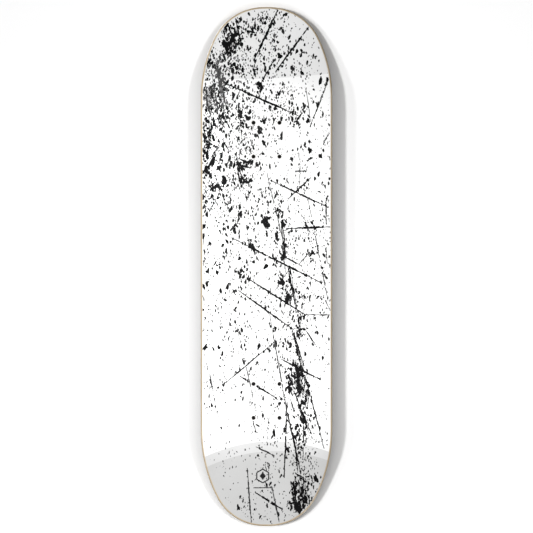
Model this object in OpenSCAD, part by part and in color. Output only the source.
// Bare skateboard deck: seven pressed maple veneers, a printed film under
// them and abrasive grip tape on top. No trucks, wheels or bolts.
// Frame: +X to the nose, +Z out of the grip side, origin on the underside,
// midway between the two truck hole patterns.

/* [Outline] */
// Width across the rails
deck_w = 209.55; // [200:0.05:220]
// Nose length, from the outer bolt row to the tip
nose_l = 186; // [175:1:195]
// Tail length, from the outer bolt row to the tip
tail_l = 174; // [168:1:185]
// Radius of the nose's round end
nose_end_r = 88; // [80:1:92]
// Radius of the nose's shoulders, where the end runs into the rails
nose_shoulder_r = 220; // [200:5:300]
// Radius of the tail's round end
tail_end_r = 84; // [80:1:92]
// Radius of the tail's shoulders
tail_shoulder_r = 240; // [200:5:300]
// Width of the short straight edge at each tip
tip_flat = 8; // [4:1:12]

/* [Concave and kicks] */
// Width of the flat middle of the underside, which the trucks bolt to
flat_w = 56; // [52:2:64]
// Radius of the upswept sides of the underside
concave_r = 260; // [220:10:400]
// Distance from the middle of the wheelbase to the start of each kick
bend_start = 250; // [245:1:255]
// Radius of the underside where a kick bends up
bend_r = 160; // [140:5:180]
// Steepness of nose and tail: mellow is 16 degrees, street is 21 degrees
kick = "street"; // [mellow, street]

/* [Lay-up] */
// Thickness of one maple veneer
veneer_t = 1.55; // [1.4:0.05:1.7]
// Thickness of the printed film
film_t = 0.2; // [0.2:0.05:0.4]
// Thickness of the grip tape
grip_t = 0.9; // [0.8:0.1:1.2]
// Radius of the rounding along the rails' top and bottom edges
rail_round = 3; // [2:0.5:4]
// Bare wood left between the edge of the film and the rail
film_inset = 2.5; // [2:0.1:5]
// Bare wood left between the edge of the grip tape and the rail
grip_inset = 0.8; // [0.5:0.1:2]

/* [Truck holes] */
// Distance between the inner bolt rows of the front and rear trucks
wheelbase = 361.95; // [355:0.05:368]
// Bolt spacing of one truck along the deck
bolt_l = 53.975; // [53.975]
// Bolt spacing of one truck across the deck
bolt_w = 41.275; // [41.275]
// Radius of a bolt hole
bolt_r = 2.778; // [2.5:0.001:3]

/* [Hidden] */
plies = 7;

// Each kick leans like a whole-number right triangle, so that its sine and
// cosine are short decimals and the bent and straight stretches meet exactly.
kick_rise = kick == "street" ? 44 : 7;
kick_run = kick == "street" ? 117 : 24;
kick_a = atan2(kick_rise, kick_run);

// Heights above the underside, measured square to the surface
wood_bottom = film_t;
wood_top = wood_bottom + plies * veneer_t;
grip_top = wood_top + grip_t;

outer_bolts = wheelbase / 2 + bolt_l;
nose_tip = outer_bolts + nose_l;
tail_tip = outer_bolts + tail_l;

margin = 5;             // how far a blank runs past the outline
blank_w = deck_w + 2 * margin;
section_h = 45;         // taller than any upswept side
prism_h = 150;          // taller than the nose
arc_step = 5;           // degrees between points along the outline

// Points along one arc, leaving out its last, which starts the next stretch.
// Angles run from 0 at the tip to 90 at the rail.
function arc_points(centre, r, from, to) =
    let (steps = ceil((to - from) / arc_step))
    [for (i = [0:steps - 1])
        let (a = from + (to - from) * i / steps)
        centre + r * [cos(a), sin(a)]];

// One quarter of the outline, from the tip's straight edge to the rail.
// The end arc and the shoulder arc share a tangent, and so do the shoulder
// arc and the rail. An inset shortens every radius and keeps the centres.
function quarter(tip, end_r, shoulder_r, inset) =
    let (
        end_c = [tip - end_r, tip_flat / 2],
        turn = asin((tip_flat / 2 + shoulder_r - deck_w / 2) / (shoulder_r - end_r)),
        shoulder_c = end_c - (shoulder_r - end_r) * [cos(turn), sin(turn)]
    )
    concat(
        arc_points(end_c, end_r - inset, 0, turn),
        arc_points(shoulder_c, shoulder_r - inset, turn, 90),
        [[shoulder_c[0], deck_w / 2 - inset]]
    );

function flip_x(points) = [for (i = [len(points) - 1:-1:0]) [-points[i][0], points[i][1]]];
function flip_y(points) = [for (i = [len(points) - 1:-1:0]) [points[i][0], -points[i][1]]];

module outline(inset) {
    nose = quarter(nose_tip, nose_end_r, nose_shoulder_r, inset);
    tail = quarter(tail_tip, tail_end_r, tail_shoulder_r, inset);
    upper = concat(nose, flip_x(tail));
    polygon(concat(upper, flip_y(upper)));
}

// Cross-section between two heights: a flat middle with upswept sides.
module section(low, high) {
    translate([-flat_w / 2, low])
        square([flat_w, high - low]);
    for (side = [0, 1])
        mirror([side, 0])
            upswept_side(low, high);
}

module upswept_side(low, high) {
    intersection() {
        translate([flat_w / 2, concave_r])
            difference() {
                circle(concave_r - low, $fn = 360);
                circle(concave_r - high, $fn = 360);
            }
        translate([flat_w / 2, -margin])
            square([(blank_w - flat_w) / 2, section_h]);
    }
}

// A straight stretch of the blank, laid along +X from the origin.
module straight(low, high, length) {
    rotate([90, 0, 90])
        linear_extrude(length)
            section(low, high);
}

// One end of the blank: the bend, then the straight kick up to the tip.
module kick_end(low, high, tip) {
    translate([bend_start, 0, bend_r]) {
        intersection() {
            rotate([90, 90, 0])
                rotate_extrude(angle = kick_a + margin, $fn = 360)
                    translate([bend_r, 0])
                        rotate(90)
                            section(low, high);
            bend_limit();
        }
        rotate([0, -kick_a, 0])
            translate([0, 0, -bend_r])
                straight(low, high, tip - bend_start);
    }
}

// Everything short of the plane where the bend gives way to the straight kick.
module bend_limit() {
    rotate([90, 0, 0])
        linear_extrude(blank_w + margin, center = true)
            polygon([
                [0, 0],
                [2 * kick_rise, -2 * kick_run] * bend_r / kick_run,
                [-margin, -2 * bend_r],
                [-margin, 0]
            ]);
}

// The whole pressed sheet between two heights, before it is cut to shape.
module blank(low, high) {
    translate([-bend_start, 0, 0])
        straight(low, high, 2 * bend_start);
    kick_end(low, high, nose_tip);
    mirror([1, 0, 0])
        kick_end(low, high, tail_tip);
}

module truck_holes() {
    for (end = [-1, 1], row = [0, 1], side = [-1, 1])
        translate([end * (wheelbase / 2 + row * bolt_l), side * bolt_w / 2, -margin])
            cylinder(h = 2 * margin + grip_top, r = bolt_r, $fn = 48);
}

// One sheet of the stack, cut to the deck's outline.
module sheet(low, high, inset) {
    intersection() {
        blank(low, high);
        linear_extrude(prism_h, center = true)
            outline(inset);
    }
}

module drilled_sheet(low, high, inset) {
    difference() {
        sheet(low, high, inset);
        truck_holes();
    }
}

// How far the rail's rounding cuts in at a height within the wood.
function rounding(height) =
    let (depth = min(height, plies * veneer_t - height))
    depth >= rail_round ? 0 : rail_round - sqrt(pow(rail_round, 2) - pow(rail_round - depth, 2));

module ply(number) {
    low = wood_bottom + (number - 1) * veneer_t;
    drilled_sheet(low, low + veneer_t, rounding((number - 0.5) * veneer_t));
}

module printed_film() { color("white") drilled_sheet(0, film_t, film_inset); }
module ply_1_bottom() { color("burlywood") ply(1); }
module ply_2() { color("wheat") ply(2); }
module ply_3_cross() { color("tan") ply(3); }
module ply_4_core() { color("burlywood") ply(4); }
module ply_5_cross() { color("tan") ply(5); }
module ply_6() { color("wheat") ply(6); }
module ply_7_top() { color("burlywood") ply(7); }

// The tape is laid whole over the holes, as it is before trucks are fitted.
module grip_tape() { color("#202020") sheet(wood_top, grip_top, grip_inset); }

printed_film();
ply_1_bottom();
ply_2();
ply_3_cross();
ply_4_core();
ply_5_cross();
ply_6();
ply_7_top();
grip_tape();
